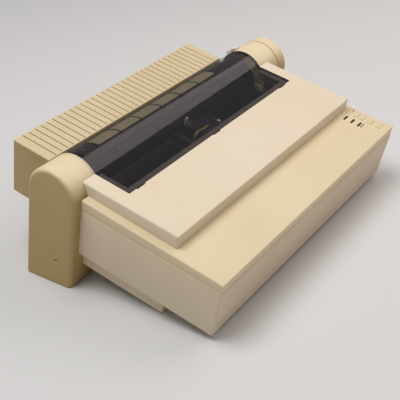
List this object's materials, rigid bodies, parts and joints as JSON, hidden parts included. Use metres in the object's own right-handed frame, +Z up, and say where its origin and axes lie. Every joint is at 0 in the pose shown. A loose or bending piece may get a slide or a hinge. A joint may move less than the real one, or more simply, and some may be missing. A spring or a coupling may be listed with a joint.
{
  "type": "dot matrix printer",
  "caption": "Desktop impact printer on two arched end legs, with a hinged front lid and smoked cover over platen, carriage and tractors, and a slotted rear deck.",
  "frame": {"origin": "centre of the bounding box's footprint, on the table", "axes": "+X along the width to the platen knob, +Y from the front panel to the rear, +Z up"},
  "size_m": [0.432, 0.3116, 0.1514],
  "materials": {
    "case_plastic": "fine grained beige plastic, yellowed",
    "lid_plastic": "fine grained cream plastic",
    "smoked_plastic": "clear smoked plastic, polished",
    "white_plastic": "smooth off-white plastic",
    "dark_plastic": "matt dark grey plastic",
    "nylon": "natural nylon",
    "rubber": "ground black rubber",
    "steel": "plated steel",
    "brass": "turned brass",
    "dark_metal": "black painted steel",
    "head_metal": "cast aluminium",
    "board": "green circuit board"
  },
  "bodies": {
    "case": {"lower_case": "case_plastic", "top_case": "case_plastic", "base_pan": "case_plastic", "rear_frame": "case_plastic", "rear_deck": "case_plastic", "left_end_housing": "case_plastic", "right_end_housing": "case_plastic", "cover_hinge_pins": "steel", "rubber_feet": "rubber", "indicator_windows": "dark_plastic", "control_board": "board", "chassis_base": "steel", "left_chassis_plate": "steel", "right_chassis_plate": "steel", "carriage_guide_rod": "steel", "platen_bushes": "brass", "feed_motor": "dark_metal", "paper_guide": "case_plastic", "paper_pan": "steel", "tractor_guide_shaft": "steel", "carriage_belt": "rubber", "carriage_motor": "dark_metal", "main_board": "board", "transformer": "dark_metal", "power_inlet": "dark_plastic", "serial_socket": "dark_plastic", "machine_screws": "steel"},
    "lid": {"front_lid": "lid_plastic"},
    "cover": {"smoked_cover": "smoked_plastic"},
    "platen_roll": {"platen": "rubber", "platen_shaft": "steel", "platen_knob": "case_plastic", "platen_gear": "nylon"},
    "idler": {"idler_gear": "nylon"},
    "pinion": {"feed_pinion": "brass"},
    "pinch": {"pinch_shaft": "steel", "pinch_rollers": "rubber"},
    "bail": {"bail_frame": "steel"},
    "bail_rolls": {"bail_rollers": "rubber"},
    "tractor_drive": {"tractor_drive_shaft": "steel", "tractor_gear": "nylon"},
    "tractor_left": {"left_tractor": "nylon"},
    "tractor_right": {"right_tractor": "nylon"},
    "wheel_left": {"left_sprocket": "dark_plastic"},
    "wheel_right": {"right_sprocket": "dark_plastic"},
    "flap_left": {"left_tractor_flap": "nylon"},
    "flap_right": {"right_tractor_flap": "nylon"},
    "carriage_set": {"carriage": "dark_plastic", "print_head": "head_metal", "ribbon_cartridge": "dark_plastic", "head_flex_cable": "brass"},
    "pulley_motor": {"motor_pulley": "brass"},
    "pulley_idler": {"idler_pulley": "nylon"},
    "gap_lever": {"head_gap_lever": "nylon"},
    "release_lever": {"paper_release_lever": "white_plastic"},
    "key_select": {"select_key": "case_plastic"},
    "key_line_feed": {"line_feed_key": "case_plastic"},
    "key_form_feed": {"form_feed_key": "case_plastic"},
    "key_print_quality": {"print_quality_key": "case_plastic"},
    "rocker": {"power_rocker": "white_plastic"}
  },
  "joints": [
    {"name": "lid_hinge", "type": "hinge", "parent": "case", "child": "lid", "pos_m": [-0.01, 0.07517, 0.13157], "axis": [-1, 0, 0], "range_deg": [0, 60]},
    {"name": "cover_hinge", "type": "hinge", "parent": "lid", "child": "cover", "pos_m": [-0.01, 0.07517, 0.13157], "axis": [-1, 0, 0], "range_deg": [0, 35]},
    {"name": "platen_spin", "type": "hinge", "parent": "case", "child": "platen_roll", "pos_m": [-0.01, 0.05211, 0.11659], "axis": [1, 0, 0], "continuous": true},
    {"name": "idler_spin", "type": "hinge", "parent": "case", "child": "idler", "pos_m": [-0.171, 0.0862, 0.10486], "axis": [1, 0, 0], "continuous": true},
    {"name": "pinion_spin", "type": "hinge", "parent": "case", "child": "pinion", "pos_m": [-0.185, 0.05797, 0.09121], "axis": [1, 0, 0], "continuous": true},
    {"name": "pinch_spin", "type": "hinge", "parent": "case", "child": "pinch", "pos_m": [-0.01, 0.0569, 0.09584], "axis": [1, 0, 0], "continuous": true},
    {"name": "bail_hinge", "type": "hinge", "parent": "case", "child": "bail", "pos_m": [-0.01, 0.04986, 0.09965], "axis": [1, 0, 0], "range_deg": [0, 8]},
    {"name": "bail_roller_spin", "type": "hinge", "parent": "bail", "child": "bail_rolls", "pos_m": [-0.01, 0.03702, 0.13017], "axis": [1, 0, 0], "continuous": true},
    {"name": "tractor_drive_spin", "type": "hinge", "parent": "case", "child": "tractor_drive", "pos_m": [-0.01, 0.11272, 0.09574], "axis": [1, 0, 0], "continuous": true},
    {"name": "left_tractor_slide", "type": "slide", "parent": "case", "child": "tractor_left", "axis": [1, 0, 0], "range_m": [-0.02, 0.04]},
    {"name": "right_tractor_slide", "type": "slide", "parent": "case", "child": "tractor_right", "axis": [1, 0, 0], "range_m": [-0.06, 0.018]},
    {"name": "left_sprocket_spin", "type": "hinge", "parent": "tractor_left", "child": "wheel_left", "pos_m": [-0.112, 0.11272, 0.09574], "axis": [1, 0, 0], "continuous": true},
    {"name": "right_sprocket_spin", "type": "hinge", "parent": "tractor_right", "child": "wheel_right", "pos_m": [0.092, 0.11272, 0.09574], "axis": [1, 0, 0], "continuous": true},
    {"name": "left_flap_hinge", "type": "hinge", "parent": "tractor_left", "child": "flap_left", "pos_m": [-0.1204, 0.10533, 0.10553], "axis": [0, -0.9744, -0.225], "range_deg": [0, 80]},
    {"name": "right_flap_hinge", "type": "hinge", "parent": "tractor_right", "child": "flap_right", "pos_m": [0.1004, 0.10533, 0.10553], "axis": [0, 0.9744, 0.225], "range_deg": [0, 80]},
    {"name": "carriage_slide", "type": "slide", "parent": "case", "child": "carriage_set", "axis": [1, 0, 0], "range_m": [-0.11, 0.09]},
    {"name": "motor_pulley_spin", "type": "hinge", "parent": "case", "child": "pulley_motor", "pos_m": [-0.146, -0.02797, 0.06115], "axis": [0, 0.9744, 0.225], "continuous": true},
    {"name": "idler_pulley_spin", "type": "hinge", "parent": "case", "child": "pulley_idler", "pos_m": [0.126, -0.02797, 0.06115], "axis": [0, 0.9744, 0.225], "continuous": true},
    {"name": "head_gap_swing", "type": "hinge", "parent": "case", "child": "gap_lever", "pos_m": [0.15, -0.00403, 0.08413], "axis": [1, 0, 0], "range_deg": [-12, 12]},
    {"name": "paper_release_swing", "type": "hinge", "parent": "case", "child": "release_lever", "pos_m": [0.1663, 0.05211, 0.11659], "axis": [-1, 0, 0], "range_deg": [0, 25]},
    {"name": "select_press", "type": "slide", "parent": "case", "child": "key_select", "axis": [0, 0.225, -0.9744], "range_m": [0, 0.0015], "stiffness_N_per_m": 250, "springref_m": -0.001},
    {"name": "line_feed_press", "type": "slide", "parent": "case", "child": "key_line_feed", "axis": [0, 0.225, -0.9744], "range_m": [0, 0.0015], "stiffness_N_per_m": 250, "springref_m": -0.001},
    {"name": "form_feed_press", "type": "slide", "parent": "case", "child": "key_form_feed", "axis": [0, 0.225, -0.9744], "range_m": [0, 0.0015], "stiffness_N_per_m": 250, "springref_m": -0.001},
    {"name": "print_quality_press", "type": "slide", "parent": "case", "child": "key_print_quality", "axis": [0, 0.225, -0.9744], "range_m": [0, 0.0015], "stiffness_N_per_m": 250, "springref_m": -0.001},
    {"name": "power_rock", "type": "hinge", "parent": "case", "child": "rocker", "pos_m": [0.1735, -0.09993, 0.08611], "axis": [0, 0.9744, 0.225], "range_deg": [0, 14]}
  ],
  "couplings": [
    {"joint": "idler_spin", "follows": "platen_spin", "ratio": -1.25},
    {"joint": "pinion_spin", "follows": "platen_spin", "ratio": -3.3333},
    {"joint": "pinch_spin", "follows": "platen_spin", "ratio": -3.2},
    {"joint": "bail_roller_spin", "follows": "platen_spin", "ratio": -4},
    {"joint": "tractor_drive_spin", "follows": "platen_spin", "ratio": 1.6667},
    {"joint": "left_sprocket_spin", "follows": "platen_spin", "ratio": 1.6667},
    {"joint": "right_sprocket_spin", "follows": "platen_spin", "ratio": 1.6667},
    {"joint": "motor_pulley_spin", "follows": "carriage_slide", "rad_per_m": 131.58},
    {"joint": "idler_pulley_spin", "follows": "carriage_slide", "rad_per_m": 131.58}
  ]
}
